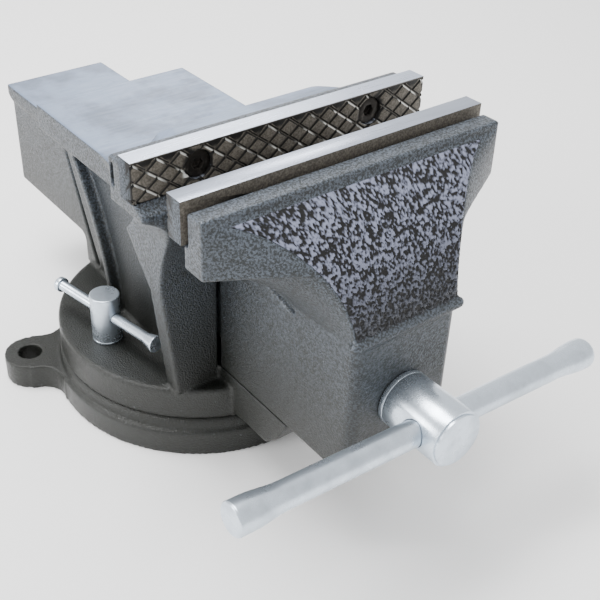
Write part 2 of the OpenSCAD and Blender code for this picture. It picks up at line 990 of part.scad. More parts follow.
module nut_bolt() {
    color(DARK_STEEL)
        difference() {
            union() {
                translate([0, nut_y, nut_head_top - nut_washer_t - nut_head_h])
                    cylinder(r = nut_head_r, h = nut_head_h);
                translate([0, nut_y, nut_head_top - nut_washer_t - 1])
                    cylinder(r = nut_bolt_r, h = nut_floor + 8.5 - nut_head_top + nut_washer_t + 1);
            }
            translate([0, nut_y, nut_head_top - nut_washer_t - nut_head_h - 1])
                cylinder(r = 4.6, h = 5.5, $fn = 6);
        }
}

module nut_washer() {
    color(ZINC)
        translate([0, nut_y, nut_head_top - nut_washer_t])
            difference() {
                cylinder(r = nut_head_r + 0.6, h = nut_washer_t);
                translate([0, 0, -1])
                    cylinder(r = nut_bolt_r + 0.1, h = nut_washer_t + 2);
            }
}

// ---------------------------------------------------------------- swivel locks

module lock_bolt() {
    head_t = slot_lip - slot_floor - 2;
    color(DARK_STEEL)
        union() {
            translate([-12, -10, slot_lip - 0.5 - head_t])
                cube([24, 20, head_t]);
            translate([0, 0, slot_lip - 1])
                cylinder(d = lock_bolt_d, h = tommy_z - tommy_d / 2 - 2.5 - slot_lip + 1);
        }
}

module lock_washer() {
    color(ZINC)
        translate([0, 0, disc_top])
            difference() {
                cylinder(d = lock_nut_d, h = lock_washer_t - 0.1);
                translate([0, 0, -1])
                    cylinder(d = lock_bolt_d + 0.5, h = lock_washer_t + 2);
            }
}

module lock_nut(angle) {
    color(ZINC)
        translate([0, 0, lock_nut_z])
            difference() {
                round_disc(lock_nut_d / 2, lock_nut_h, 1);
                translate([0, 0, -1])
                    cylinder(d = lock_bolt_d + 2 * run_gap, h = tommy_z - tommy_d / 2 - 2 - lock_nut_z + 1);
                translate([0, 0, tommy_z - lock_nut_z])
                    rotate([0, 0, angle])
                        rotate([0, 90, 0])
                            cylinder(d = tommy_d + 2 * air, h = lock_nut_d + 4, center = true);
            }
}

// A tommy bar with a round head at one end and a flared tip at the other.
module tommy_bar(angle) {
    half = tommy_len / 2;
    color(ZINC)
        translate([0, 0, tommy_z])
            rotate([0, 0, angle])
                rotate([0, 90, 0]) {
                    cylinder(d = tommy_d, h = tommy_len - 2, center = true);
                    translate([0, 0, half - 4.5])
                        round_disc(tommy_head_r, 4.5, 1.5);
                    translate([0, 0, -half])
                        cylinder(r1 = tommy_flare_r, r2 = tommy_d / 2, h = 10);
                }
}

// Puts a lock piece on the left or the right of the body.
module at_lock(side) {
    translate([side * lock_reach, 0, 0])
        children();
}

module lock_bolt_left() { at_lock(-1) lock_bolt(); }
module lock_bolt_right() { at_lock(1) lock_bolt(); }
module lock_washer_left() { at_lock(-1) lock_washer(); }
module lock_washer_right() { at_lock(1) lock_washer(); }
module lock_nut_left() { at_lock(-1) lock_nut(tommy_angle); }
module lock_nut_right() { at_lock(1) lock_nut(-tommy_angle); }
module tommy_bar_left() { at_lock(-1) tommy_bar(tommy_angle); }
module tommy_bar_right() { at_lock(1) tommy_bar(180 - tommy_angle); }

swivel_base();
pivot_bolt();
pivot_washer();
fixed_jaw_body();
fixed_jaw_plate();
fixed_jaw_screws();
spindle_nut();
nut_bolt();
nut_washer();
lock_bolt_left();
lock_bolt_right();
lock_washer_left();
lock_washer_right();
lock_nut_left();
lock_nut_right();
tommy_bar_left();
tommy_bar_right();
moving_jaw();
moving_jaw_plate();
moving_jaw_screws();
spindle();
thrust_washer();
spring_washer();
spindle_spring();
spindle_collar();
collar_pin();
handle_bar();
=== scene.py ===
"""Looks of the bench vise: cast and ground surfaces, turned bars, screw, paints and the studio."""

import json
import math
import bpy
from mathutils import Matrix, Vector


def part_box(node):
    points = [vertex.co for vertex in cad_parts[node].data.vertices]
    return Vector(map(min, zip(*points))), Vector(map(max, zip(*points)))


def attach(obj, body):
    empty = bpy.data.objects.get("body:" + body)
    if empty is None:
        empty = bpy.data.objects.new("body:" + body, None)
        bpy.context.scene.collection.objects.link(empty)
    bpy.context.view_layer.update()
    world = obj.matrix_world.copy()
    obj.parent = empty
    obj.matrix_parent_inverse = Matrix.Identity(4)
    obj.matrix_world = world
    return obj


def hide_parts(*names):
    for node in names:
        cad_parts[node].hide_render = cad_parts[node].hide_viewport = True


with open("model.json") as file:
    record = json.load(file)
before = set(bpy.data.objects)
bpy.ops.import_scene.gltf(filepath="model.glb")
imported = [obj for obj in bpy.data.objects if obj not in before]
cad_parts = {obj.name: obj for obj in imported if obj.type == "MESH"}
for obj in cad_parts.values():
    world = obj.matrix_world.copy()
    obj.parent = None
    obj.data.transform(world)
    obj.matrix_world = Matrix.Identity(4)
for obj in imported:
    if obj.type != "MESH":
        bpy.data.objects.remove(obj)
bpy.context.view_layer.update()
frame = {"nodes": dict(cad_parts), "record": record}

import bmesh
import bpy
import numpy as np
from mathutils import Matrix, Vector

bl_info = {
    "name": "Bench Vise",
    "version": (1, 0, 0),
    "blender": (4, 5, 0),
    "location": "View3D > Sidebar > Vise",
    "description": "Builds the finished surfaces of a bench vise around its fixed frame",
    "category": "Mesh",
}

NODE_BODY = {n: b for b, ns in frame["record"]["behaviour"]["bodies"].items() for n in ns}


# ------------------------------------------------------------------ settings


class ViseShape(bpy.types.PropertyGroup):
    """Sizes that the finishing of the vise's surfaces depends on."""

    cast_voxel: bpy.props.FloatProperty(
        name="Casting grain",
        description="Edge length of the fine mesh that a casting is remade with",
        default=0.00115, min=0.0008, max=0.005, subtype="DISTANCE", unit="LENGTH",
    )
    cast_softness: bpy.props.IntProperty(
        name="Casting softness",
        description="Smoothing passes that round a casting's edges",
        default=3, min=0, max=20,
    )
    hammer_cell: bpy.props.FloatProperty(
        name="Hammer cell",
        description="Distance between the bumps of the hammered shield",
        default=0.00125, min=0.0008, max=0.006, subtype="DISTANCE", unit="LENGTH",
    )
    hammer_depth: bpy.props.FloatProperty(
        name="Hammer depth",
        description="Depth of the pits between the bumps of the hammered shield",
        default=0.0009, min=0.0, max=0.002, subtype="DISTANCE", unit="LENGTH",
    )
    machined_edge: bpy.props.FloatProperty(
        name="Machined edge",
        description="Width of the small bevel on turned and milled parts",
        default=0.0005, min=0.0, max=0.003, subtype="DISTANCE", unit="LENGTH",
    )
    plate_edge: bpy.props.FloatProperty(
        name="Plate edge",
        description="Width of the bevel along the jaw plates' edges and teeth",
        default=0.0004, min=0.0, max=0.002, subtype="DISTANCE", unit="LENGTH",
    )
    thread_pitch: bpy.props.FloatProperty(
        name="Thread pitch",
        description="Distance between the crests of the spindle's thread",
        default=0.006, min=0.002, max=0.012, subtype="DISTANCE", unit="LENGTH",
    )
    thread_depth: bpy.props.FloatProperty(
        name="Thread depth",
        description="Depth of the spindle's thread",
        default=0.003, min=0.0005, max=0.006, subtype="DISTANCE", unit="LENGTH",
    )


class ViseFinish(bpy.types.PropertyGroup):
    """Colours of the vise's finishes."""

    # The dark tone is the enamel's dark speck and also the painted shade that the enamel and the shield fade
    # to low down and underneath.
    paint_dark: bpy.props.FloatVectorProperty(
        name="Enamel shade", description="Dark tone of the hammered enamel",
        default=(0.008, 0.0085, 0.0055), size=3, min=0, max=1, subtype="COLOR",
    )
    paint_light: bpy.props.FloatVectorProperty(
        name="Enamel light", description="Light tone of the hammered enamel",
        default=(0.1, 0.12, 0.15), size=3, min=0, max=1, subtype="COLOR",
    )
    paint_chip: bpy.props.FloatVectorProperty(
        name="Enamel rub", description="Grey metal that shows where the enamel is rubbed",
        default=(0.3, 0.32, 0.35), size=3, min=0, max=1, subtype="COLOR",
    )
    # Painted highlight: the light tone laid on the shield's bumps.
    bump_highlight: bpy.props.FloatVectorProperty(
        name="Shield bumps", description="Light tone of the shield's hammered bumps",
        default=(0.24, 0.26, 0.36), size=3, min=0, max=1, subtype="COLOR",
    )
    ground_face: bpy.props.FloatVectorProperty(
        name="Ground face", description="Colour of the anvil and tail tops",
        default=(0.2, 0.255, 0.36), size=3, min=0, max=1, subtype="COLOR",
    )
    plate_top: bpy.props.FloatVectorProperty(
        name="Plate top", description="Colour of the jaw plates' ground edges",
        default=(0.5, 0.55, 0.66), size=3, min=0, max=1, subtype="COLOR",
    )
    plate_teeth: bpy.props.FloatVectorProperty(
        name="Plate teeth", description="Colour of the jaw plates' toothed faces",
        default=(0.2, 0.18, 0.15), size=3, min=0, max=1, subtype="COLOR",
    )
    zinc: bpy.props.FloatVectorProperty(
        name="Zinc", description="Colour of the zinc plating",
        default=(0.66, 0.74, 0.83), size=3, min=0, max=1, subtype="COLOR",
    )
    black_oxide: bpy.props.FloatVectorProperty(
        name="Black oxide", description="Colour of the blackened steel parts",
        default=(0.03, 0.027, 0.024), size=3, min=0, max=1, subtype="COLOR",
    )
    iron: bpy.props.FloatVectorProperty(
        name="Bare iron", description="Colour of the unpainted cast nut",
        default=(0.16, 0.16, 0.165), size=3, min=0, max=1, subtype="COLOR",
    )


# ------------------------------------------------------------------ node tools


class Shader:
    """A material's node tree, with short calls to add and join nodes."""

    def __init__(self, name):
        self.material = bpy.data.materials.new(name)
        self.material.use_nodes = True
        self.tree = self.material.node_tree
        self.tree.nodes.clear()
        self.out = self.tree.nodes.new("ShaderNodeOutputMaterial")
        self.bsdf = self.tree.nodes.new("ShaderNodeBsdfPrincipled")
        self.tree.links.new(self.bsdf.outputs[0], self.out.inputs[0])
        self.coords = self.tree.nodes.new("ShaderNodeTexCoord").outputs["Object"]

    def node(self, kind, **settings):
        """A node of that kind with its settings; inputs may be numbers, colours or sockets."""
        made = self.tree.nodes.new(kind)
        inputs = settings.pop("inputs", {})
        for key, value in settings.items():
            setattr(made, key, value)
        for key, value in inputs.items():
            if isinstance(value, bpy.types.NodeSocket):
                self.tree.links.new(value, made.inputs[key])
            else:
                made.inputs[key].default_value = value
        return made

    def noise(self, scale, detail=2.0, rough=0.5, coords=None):
        """Noise between 0 and 1, with scale in cells per metre."""
        return self.node(
            "ShaderNodeTexNoise",
            inputs={"Vector": coords or self.coords, "Scale": scale, "Detail": detail, "Roughness": rough},
        ).outputs["Fac"]

    def cells(self, scale):
        """Distance to the nearest of the points scattered at that many per metre."""
        inputs = {"Vector": self.coords, "Scale": scale}
        return self.node("ShaderNodeTexVoronoi", inputs=inputs).outputs["Distance"]

    def math(self, operation, a, b=0.0):
        """One step of arithmetic on sockets or numbers."""
        made = self.node("ShaderNodeMath", operation=operation)
        for socket, value in zip(made.inputs, (a, b)):
            if isinstance(value, bpy.types.NodeSocket):
                self.tree.links.new(value, socket)
            else:
                socket.default_value = value
        return made.outputs[0]

    def band(self, value, low, high, to_low=0.0, to_high=1.0):
        """A smooth step of value from low to high."""
        return self.node(
            "ShaderNodeMapRange",
            interpolation_type="SMOOTHSTEP",
            inputs={"Value": value, "From Min": low, "From Max": high, "To Min": to_low, "To Max": to_high},
        ).outputs["Result"]

    def mix(self, factor, a, b):
        """A colour between a and b."""
        made = self.node("ShaderNodeMix", data_type="RGBA")
        for socket, value in ((made.inputs[0], factor), (made.inputs[6], a), (made.inputs[7], b)):
            if isinstance(value, bpy.types.NodeSocket):
                self.tree.links.new(value, socket)
            elif socket is made.inputs[0]:
                socket.default_value = value
            else:
                socket.default_value = (*value, 1.0)
        return made.outputs[2]

    def bump(self, height, strength, distance):
        """The normal of a surface that is raised by height times distance."""
        inputs = {"Height": height, "Strength": strength, "Distance": distance}
        return self.node("ShaderNodeBump", inputs=inputs).outputs["Normal"]

    def place(self):
        """The three object coordinates, in metres."""
        return self.node("ShaderNodeSeparateXYZ", inputs={"Vector": self.coords}).outputs

    def facing(self):
        """The three parts of the surface normal."""
        normal = self.tree.nodes.new("ShaderNodeNewGeometry").outputs["Normal"]
        return self.node("ShaderNodeSeparateXYZ", inputs={"Vector": normal}).outputs

    def stretched(self, x, y, z):
        """Object coordinates scaled along each axis, for brushed or drawn patterns."""
        return self.node(
            "ShaderNodeMapping", vector_type="POINT", inputs={"Vector": self.coords, "Scale": (x, y, z)}
        ).outputs[0]

    def finish(self, colour=None, roughness=None, metallic=None, normal=None):
        """Joins or sets the surface's inputs and gives back the material."""
        for key, value in (
            ("Base Color", colour), ("Roughness", roughness), ("Metallic", metallic), ("Normal", normal),
        ):
            if isinstance(value, bpy.types.NodeSocket):
                self.tree.links.new(value, self.bsdf.inputs[key])
            elif value is not None:
                self.bsdf.inputs[key].default_value = (*value, 1.0) if key == "Base Color" else value
        return self.material


def finish_settings():
    return bpy.context.scene.vise_finish


# ------------------------------------------------------------------ materials


def enamel(name, ground=None):
    """Grainy enamel over sand-cast iron.

    ground is a function of the shader that returns a mask of the bare machined faces, 0 to 1."""
    look = finish_settings()
    s = Shader(name)
    up = s.facing()[2]
    height = s.place()[2]
    grain = s.noise(820, 3, 0.65)
    grit = s.cells(1050)
    fine = s.math("ADD", s.math("MULTIPLY", grain, 0.8), s.math("MULTIPLY", grit, 0.45))
    cloud = s.noise(24, 3, 0.5)
    speck = s.band(grain, 0.42, 0.6)
    tone = s.math("ADD", s.math("MULTIPLY", speck, 0.75), s.math("MULTIPLY", cloud, 0.3))
    # Painted shade: the enamel's colour is darkened towards its olive-black dark tone low down and on faces
    # that look at the bench.
    height_shade = s.band(height, 0.04, 0.185, 0.06, 1.0)
    underside_shade = s.band(up, -0.5, 0.5, 0.5, 1.0)
    tone = s.math("MULTIPLY", tone, s.math("MULTIPLY", height_shade, underside_shade))
    colour = s.mix(tone, look.paint_dark, look.paint_light)
    worn = s.band(s.noise(310, 5, 0.7), 0.66, 0.74)
    colour = s.mix(s.math("MULTIPLY", worn, 0.5), colour, look.paint_chip)
    rough = s.band(grain, 0.3, 0.7, 0.46, 0.3)
    metal = 0.2
    normal = s.bump(fine, 0.75, 0.0007)
    if ground is not None:
        mask = ground(s)
        stain = s.band(s.noise(23, 4, 0.6), 0.42, 0.66)
        brushed = s.noise(1.0, 2, 0.5, s.stretched(60, 900, 60))
        spots = s.band(s.noise(120, 5, 0.7), 0.6, 0.72)
        bare = s.mix(stain, look.ground_face, tuple(0.6 * c for c in look.ground_face))
        bare = s.mix(s.math("MULTIPLY", spots, 0.4), bare, tuple(0.4 * c for c in look.ground_face))
        colour = s.mix(mask, colour, bare)
        rough = s.mix(mask, rough, s.band(brushed, 0.3, 0.7, 0.4, 0.52))
        smooth = s.bump(brushed, 0.05, 0.0002)
        normal = s.node(
            "ShaderNodeMix", data_type="VECTOR", inputs={0: mask, 4: normal, 5: smooth}
        ).outputs[1]
        metal = s.band(mask, 0.0, 1.0, 0.2, 0.25)
    return s.finish(colour=colour, roughness=rough, metallic=metal, normal=normal)


def hammered_shield():
    """Thick glossy hammered enamel: a painted highlight on the bumps, painted shade in near-black pits and
    painted shade in olive-black low down.
    """
    look = finish_settings()
    s = Shader("hammered_shield")
    height = s.place()[2]
    depth = s.node("ShaderNodeAttribute", attribute_name="relief").outputs["Fac"]
    grain = s.noise(900, 2, 0.6)
    top = s.band(depth, 0.15, 1.0)
    # Painted highlight on the bumps, with painted shade towards the bottom of the shield.
    height_shade = s.band(height, 0.15, 0.205, 0.08, 1.0)
    bumps = s.mix(height_shade, look.paint_dark, look.bump_highlight)
    # Painted shade in the pits: the relief's low parts are coloured near black.
    colour = s.mix(top, (0.006, 0.006, 0.006), bumps)
    rough = s.band(top, 0.0, 1.0, 0.42, 0.14)
    return s.finish(colour=colour, roughness=rough, metallic=0.35, normal=s.bump(grain, 0.25, 0.0003))


def bare_top_mask(s):
    """1 on the level tops of the anvil and the tail, and on the slope behind the jaw."""
    up = s.band(s.facing()[2], 0.55, 0.8)
    place = s.place()
    high = s.band(place[2], 0.1502, 0.1508)
    behind = s.band(place[1], -0.0715, -0.0705)
    return s.math("MULTIPLY", s.math("MULTIPLY", up, high), behind)


def zinc_plate():
    """Bright zinc with faint draw lines, cloudy spots and dull edges."""
    look = finish_settings()
    s = Shader("zinc_plate")
    cloud = s.noise(55, 4, 0.6)
    speck = s.noise(900, 2, 0.5)
    colour = s.mix(
        s.band(cloud, 0.35, 0.75), look.zinc, tuple(0.72 * c for c in look.zinc)
    )
    rough = s.math("ADD", s.band(cloud, 0.3, 0.7, 0.2, 0.34), s.math("MULTIPLY", speck, 0.06))
    return s.finish(
        colour=colour, roughness=rough, metallic=0.9, normal=s.bump(speck, 0.12, 0.0002)
    )


def jaw_steel():
    """Hardened plate: ground top, dull brown-grey teeth with painted shade in the grooves and painted glints
    on their upper edges, ends in enamel.
    """
    look = finish_settings()
    s = Shader("jaw_steel")
    nx, ny, nz = s.facing()
    top = s.band(s.math("ABSOLUTE", nz), 0.8, 0.95)
    flat = s.band(s.math("ABSOLUTE", ny), 0.93, 0.985)
    end = s.band(s.math("ABSOLUTE", nx), 0.93, 0.985)
    grain = s.noise(900, 3, 0.65)
    teeth = s.mix(s.band(grain, 0.35, 0.7), tuple(0.45 * c for c in look.plate_teeth), look.plate_teeth)
    # Painted shade in the grooves: faces that lean away from the tooth flats, the groove walls, are coloured
    # near black.
    colour = s.mix(flat, (0.006, 0.0055, 0.005), teeth)
    # Painted glints: a near-white colour along the teeth's upper edges, broken into patches.
    side = s.math("ABSOLUTE", ny)
    painted_glint = s.math("MULTIPLY", s.band(side, 0.78, 0.84), s.band(side, 0.985, 0.955))
    painted_glint = s.math("MULTIPLY", painted_glint, s.math("MULTIPLY", s.band(nz, 0.08, 0.2), s.band(nx, 0.05, 0.15)))
    patchy = s.band(s.noise(70, 2), 0.42, 0.56)
    colour = s.mix(s.math("MULTIPLY", painted_glint, patchy), colour, (0.85, 0.86, 0.82))
    brushed = s.noise(1.0, 3, 0.55, s.stretched(40, 1200, 40))
    colour = s.mix(top, colour, look.plate_top)
    paint = s.mix(s.band(grain, 0.36, 0.66), look.paint_dark, look.paint_light)
    colour = s.mix(end, colour, paint)
    rough = s.mix(top, (0.62, 0.62, 0.62), s.band(brushed, 0.3, 0.7, 0.26, 0.4))
    metal = s.math("ADD", 0.35, s.math("MULTIPLY", top, 0.5))
    return s.finish(colour=colour, roughness=rough, metallic=metal, normal=s.bump(grain, 0.35, 0.0004))


def dark_steel():
    """Blackened steel with a little rub on its high spots."""
    look = finish_settings()
    s = Shader("dark_steel")
    rub = s.band(s.noise(240, 4, 0.6), 0.52, 0.72)
    colour = s.mix(s.math("MULTIPLY", rub, 0.5), look.black_oxide, tuple(4 * c for c in look.black_oxide))
    return s.finish(
        colour=colour, roughness=s.band(rub, 0, 1, 0.48, 0.36), metallic=0.8,
        normal=s.bump(s.noise(700, 2), 0.15, 0.0003),
    )


def bare_iron():
    """Cast iron as it left the sand, darkened by grease."""
    look = finish_settings()
    s = Shader("bare_iron")
    grain = s.noise(520, 3, 0.6)
    grease = s.band(s.noise(40, 3, 0.5), 0.4, 0.6)
    colour = s.mix(grease, look.iron, tuple(0.4 * c for c in look.iron))
    return s.finish(
        colour=colour, roughness=s.band(grease, 0, 1, 0.6, 0.35), metallic=0.7,
        normal=s.bump(grain, 0.5, 0.0006),
    )


MATERIALS = {}


def material(key):
    """The material for a finish, made on first use."""
    makers = {
        "body_paint": lambda: enamel("body_paint", ground=bare_top_mask),
        "base_paint": lambda: enamel("base_paint"),
        "jaw_paint": lambda: enamel("jaw_paint"),
        "hammered_shield": hammered_shield,
        "jaw_steel": jaw_steel,
        "zinc_plate": zinc_plate,
        "dark_steel": dark_steel,
        "bare_iron": bare_iron,
    }
    if key not in MATERIALS:
        MATERIALS[key] = makers[key]()
    return MATERIALS[key]


# ------------------------------------------------------------------ mesh tools


def piece(name, mesh, node_names, finish, replace=True):
    """Puts a mesh into the scene as a piece that stands for one or more nodes."""
    made = bpy.data.objects.new(name, mesh)
    bpy.context.scene.collection.objects.link(made)
    mesh.materials.clear()
    mesh.materials.append(material(finish))
    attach(made, NODE_BODY[node_names[0]])
    if replace:
        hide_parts(*node_names)
    return made


def merged_copy(node):
    """A copy of a node's mesh with its loose corners joined and its flat faces whole."""
    mesh = frame["nodes"][node].data.copy()
    mesh.name = node + "_mesh"
    work = bmesh.new()
    work.from_mesh(mesh)
    bmesh.ops.remove_doubles(work, verts=work.verts, dist=1e-6)
    bmesh.ops.dissolve_limit(
        work, angle_limit=math.radians(0.6), verts=work.verts, edges=work.edges
    )
    work.to_mesh(mesh)
    work.free()
    return mesh


def finished_mesh(mesh, modifiers):
    """The mesh that a list of (kind, settings) modifiers makes of another."""
    holder = bpy.data.objects.new("holder", mesh)
    bpy.context.scene.collection.objects.link(holder)
    for kind, settings in modifiers:
        added = holder.modifiers.new(kind, kind)
        for key, value in settings.items():
            setattr(added, key, value)
    graph = bpy.context.evaluated_depsgraph_get()
    made = bpy.data.meshes.new_from_object(holder.evaluated_get(graph))
    bpy.data.objects.remove(holder)
    return made


def smooth_faces(mesh, sharp_deg=None):
    mesh.polygons.foreach_set("use_smooth", np.ones(len(mesh.polygons), bool))
    if sharp_deg is not None:
        mesh.set_sharp_from_angle(angle=math.radians(sharp_deg))
    mesh.update()
    return mesh


def soft_casting(node, voxel, passes, limit=190000):
    """A casting remade with an even fine mesh and smoothed, so its edges and corners are round."""
    steps = [
        ("REMESH", {"mode": "VOXEL", "voxel_size": voxel}),
        ("SMOOTH", {"factor": 0.5, "iterations": passes}),
    ]
    mesh = finished_mesh(merged_copy(node), steps)
    triangles = sum(len(p.vertices) - 2 for p in mesh.polygons)
    if triangles > limit:
        mesh = finished_mesh(
            mesh, [("DECIMATE", {"decimate_type": "COLLAPSE", "ratio": limit / triangles})]
        )
    return smooth_faces(mesh)


def bevelled(node, width, segments=2, angle=35):
    """A machined part with a small rounded bevel along its edges."""
    settings = {
        "width": width, "segments": segments, "limit_method": "ANGLE",
        "angle_limit": math.radians(angle), "harden_normals": False, "miter_outer": "MITER_ARC",
    }
    return smooth_faces(finished_mesh(merged_copy(node), [("BEVEL", settings)]), 40)


def closed_grid(name, points):
    """A closed mesh over a grid of points: each row is a ring, and the first and last are capped."""
    rows, columns = points.shape[:2]
    corner = np.arange(rows * columns).reshape(rows, columns)
    a, b = corner[:-1], corner[1:]
    quads = np.stack([a, np.roll(a, -1, 1), np.roll(b, -1, 1), b], -1).reshape(-1, 4)
    faces = quads.tolist() + [corner[0, ::-1].tolist(), corner[-1].tolist()]
    mesh = bpy.data.meshes.new(name)
    mesh.from_pydata(points.reshape(-1, 3).tolist(), [], faces)
    work = bmesh.new()
    work.from_mesh(mesh)
    bmesh.ops.remove_doubles(work, verts=work.verts, dist=1e-7)
    bmesh.ops.recalc_face_normals(work, faces=work.faces)
    work.to_mesh(mesh)
    work.free()
    return mesh


# ------------------------------------------------------------------ operators


class VISE_OT_stage(bpy.types.Operator):
    """Add the pale floor, the soft studio lights and the camera"""

    bl_idname = "vise.stage"
    bl_label = "Studio"

    def execute(self, context):
        s = Shader("studio_floor")
        tone = s.noise(1.5, 2, 0.5)
        s.finish(colour=s.mix(tone, (0.96, 0.96, 0.96), (0.98, 0.98, 0.98)), roughness=0.85, metallic=0.0)
        half = 6.0
        u = np.linspace(-half, half, 3)
        points = np.stack(np.meshgrid(u, u, indexing="ij") + [np.zeros((3, 3))], -1)
        mesh = bpy.data.meshes.new("floor")
        corner = np.arange(9).reshape(3, 3)
        quads = np.stack([corner[:-1, :-1], corner[1:, :-1], corner[1:, 1:], corner[:-1, 1:]], -1)
        mesh.from_pydata(points.reshape(-1, 3).tolist(), [], quads.reshape(-1, 4).tolist())
        floor = bpy.data.objects.new("floor", mesh)
        context.scene.collection.objects.link(floor)
        mesh.materials.append(s.material)
        self.world(context)
        self.lights(context)
        self.camera(context)
        return {"FINISHED"}

    def world(self, context):
        world = bpy.data.worlds.new("studio")
        world.use_nodes = True
        back = world.node_tree.nodes["Background"]
        back.inputs["Color"].default_value = (1.0, 1.0, 1.0, 1.0)
        back.inputs["Strength"].default_value = 1.15
        context.scene.world = world

    def lights(self, context):
        soft = (
            ("overhead", (-0.3, 0.3, 1.7), (0, 0, 0.15), 0.9, 42.0),
            ("left", (-1.6, 0.5, 0.75), (0, 0, 0.12), 0.6, 22.0),
            ("behind", (0.9, 1.5, 1.0), (0, 0, 0.15), 0.6, 9.0),
        )
        for name, place, target, size, power in soft:
            light = bpy.data.lights.new(name, "AREA")
            light.shape = "SQUARE"
            light.size = size
            light.energy = power
            lamp = bpy.data.objects.new(name, light)
            context.scene.collection.objects.link(lamp)
            aim = Vector(target) - Vector(place)
            lamp.matrix_world = Matrix.Translation(place) @ aim.to_track_quat("-Z", "Y").to_matrix().to_4x4()

    def camera(self, context):
        """The camera stands at the front left and looks down at the jaws."""
        yaw, pitch, roll = (math.radians(a) for a in (35.94, 34.55, 0.70))
        ahead = Vector((math.sin(yaw) * math.cos(pitch), math.cos(yaw) * math.cos(pitch), -math.sin(pitch)))
        right = Vector((math.cos(yaw), -math.sin(yaw), 0))
        up = right.cross(ahead)
        side = math.cos(roll) * right + math.sin(roll) * up
        top = math.cos(roll) * up - math.sin(roll) * right
        lens = bpy.data.cameras.new("camera")
        lens.sensor_width = 36.0
        lens.lens = 60.44
        lens.shift_x = 0.0754
        lens.shift_y = -0.0125
        eye = bpy.data.objects.new("camera", lens)
        context.scene.collection.objects.link(eye)
        turn = Matrix((side, top, -ahead)).transposed().to_4x4()
        eye.matrix_world = Matrix.Translation((-0.3121, -0.4963, 0.4603)) @ turn
        context.scene.camera = eye


class VISE_OT_castings(bpy.types.Operator):
    """Remake the three castings with round edges and their enamel"""

    bl_idname = "vise.castings"
    bl_label = "Castings"

    def execute(self, context):
        shape = context.scene.vise_shape
        for node, finish, voxel in (
            ("fixed_jaw_body", "body_paint", shape.cast_voxel),
            ("moving_jaw", "jaw_paint", shape.cast_voxel * 0.9),
            ("swivel_base", "base_paint", shape.cast_voxel),
        ):
            mesh = soft_casting(node, voxel, shape.cast_softness)
            piece(node + "_casting", mesh, [node], finish)
        return {"FINISHED"}


# Keeps the relief's noise grid on one side of its origin, in metres.
RELIEF_START = 0.2


def value_noise(u, v, seed):
    """Smooth noise from 0 to 1: random values on a unit grid, eased between the grid's corners."""
    grid = np.random.default_rng(seed).random((256, 256))
    iu, iv = np.floor(u).astype(int), np.floor(v).astype(int)
    fu, fv = u - iu, v - iv
    fu, fv = fu * fu * (3 - 2 * fu), fv * fv * (3 - 2 * fv)
    a, b = grid[iu % 256, iv % 256], grid[(iu + 1) % 256, iv % 256]
    c, d = grid[iu % 256, (iv + 1) % 256], grid[(iu + 1) % 256, (iv + 1) % 256]
    return (a * (1 - fu) + b * fu) * (1 - fv) + (c * (1 - fu) + d * fu) * fv


def shield_relief(x, z, cell):
    """Height of the hammered finish, 0 in a pit and 1 on a bump: three layers of noise, each
    finer than the last and turned against it, pushed apart into bumps and pits."""
    u, v = (x + RELIEF_START) / cell, z / cell
    total = 0.5 * value_noise(u, v, 3)
    total = total + 0.33 * value_noise(1.27 * u + 1.19 * v, 1.19 * u - 1.27 * v + 90, 5)
    total = total + 0.17 * value_noise(3.1 * u + 40, 3.1 * v, 9)
    pushed = np.clip((total - 0.3) / 0.42, 0, 1)
    return pushed * pushed * (3 - 2 * pushed)


class VISE_OT_shield(bpy.types.Operator):
    """Lay the hammered skin over the moving jaw's curved shield"""

    bl_idname = "vise.shield"
    bl_label = "Shield"

    def execute(self, context):
        """The skin follows the casting's front: its half width and its depth at each height are
        circle arcs, w = w0 + R1 - sqrt(R1^2 - (z - z0)^2) and y = yc - sqrt(R2^2 - (z - zc)^2)."""
        shape = context.scene.vise_shape
        box_top = 0.151
        low_z, high_z = 0.1525, 0.2176
        box_half, widest, inset = 0.036, 0.084, 0.0008
        flank, bulge = 0.070, 0.100
        skin, proud, rim_width = 0.003, 0.0002, 0.0015
        start, end = np.array([-0.160, 0.218]), np.array([-0.202, 0.151])
        along = end - start
        reach = np.linalg.norm(along)
        left = np.array([-along[1], along[0]]) / reach
        centre = (start + end) / 2 + left * math.sqrt(bulge ** 2 - (reach / 2) ** 2)
        rows, columns = 185, 420
        z = np.linspace(low_z, high_z, rows)[:, None]
        t = np.linspace(-1, 1, columns)[None, :]
        spread = box_half + flank - np.sqrt(flank ** 2 - (z - box_top) ** 2)
        half = np.minimum(spread, widest) - inset
        x = half * t
        y = centre[0] - np.sqrt(bulge ** 2 - (z - centre[1]) ** 2) + 0 * x
        z = z + 0 * x
        relief = shield_relief(x, z, shape.hammer_cell)
        rim = np.minimum((1 - np.abs(t)) * half, np.minimum(z - low_z, high_z - z))
        fade = np.clip(rim / rim_width, 0, 1)
        lift = proud + shape.hammer_depth * relief * fade
        front = np.stack([x, y - lift, z], -1)
        back = np.stack([x, y + skin, z], -1)[:, ::-60]
        mesh = closed_grid("shield_skin", np.concatenate([front, back], 1))
        mark = mesh.attributes.new("relief", "FLOAT", "POINT")
        place = np.empty(len(mesh.vertices) * 3)
        mesh.vertices.foreach_get("co", place)
        place = place.reshape(-1, 3)
        relief = shield_relief(place[:, 0], place[:, 2], shape.hammer_cell)
        mark.data.foreach_set("value", relief)
        piece("shield_skin", smooth_faces(mesh), ["moving_jaw"], "hammered_shield", replace=False)
        return {"FINISHED"}


class VISE_OT_jaw_plates(bpy.types.Operator):
    """Bevel the two toothed jaw plates and their screws"""

    bl_idname = "vise.jaw_plates"
    bl_label = "Jaw plates"

    def execute(self, context):
        shape = context.scene.vise_shape
        for side in ("fixed", "moving"):
            plate = side + "_jaw_plate"
            piece(plate + "_ground", bevelled(plate, shape.plate_edge, 1, 30), [plate], "jaw_steel")
            screws = side + "_jaw_screws"
            piece(screws + "_black", bevelled(screws, shape.machined_edge * 0.8), [screws], "dark_steel")
        return {"FINISHED"}


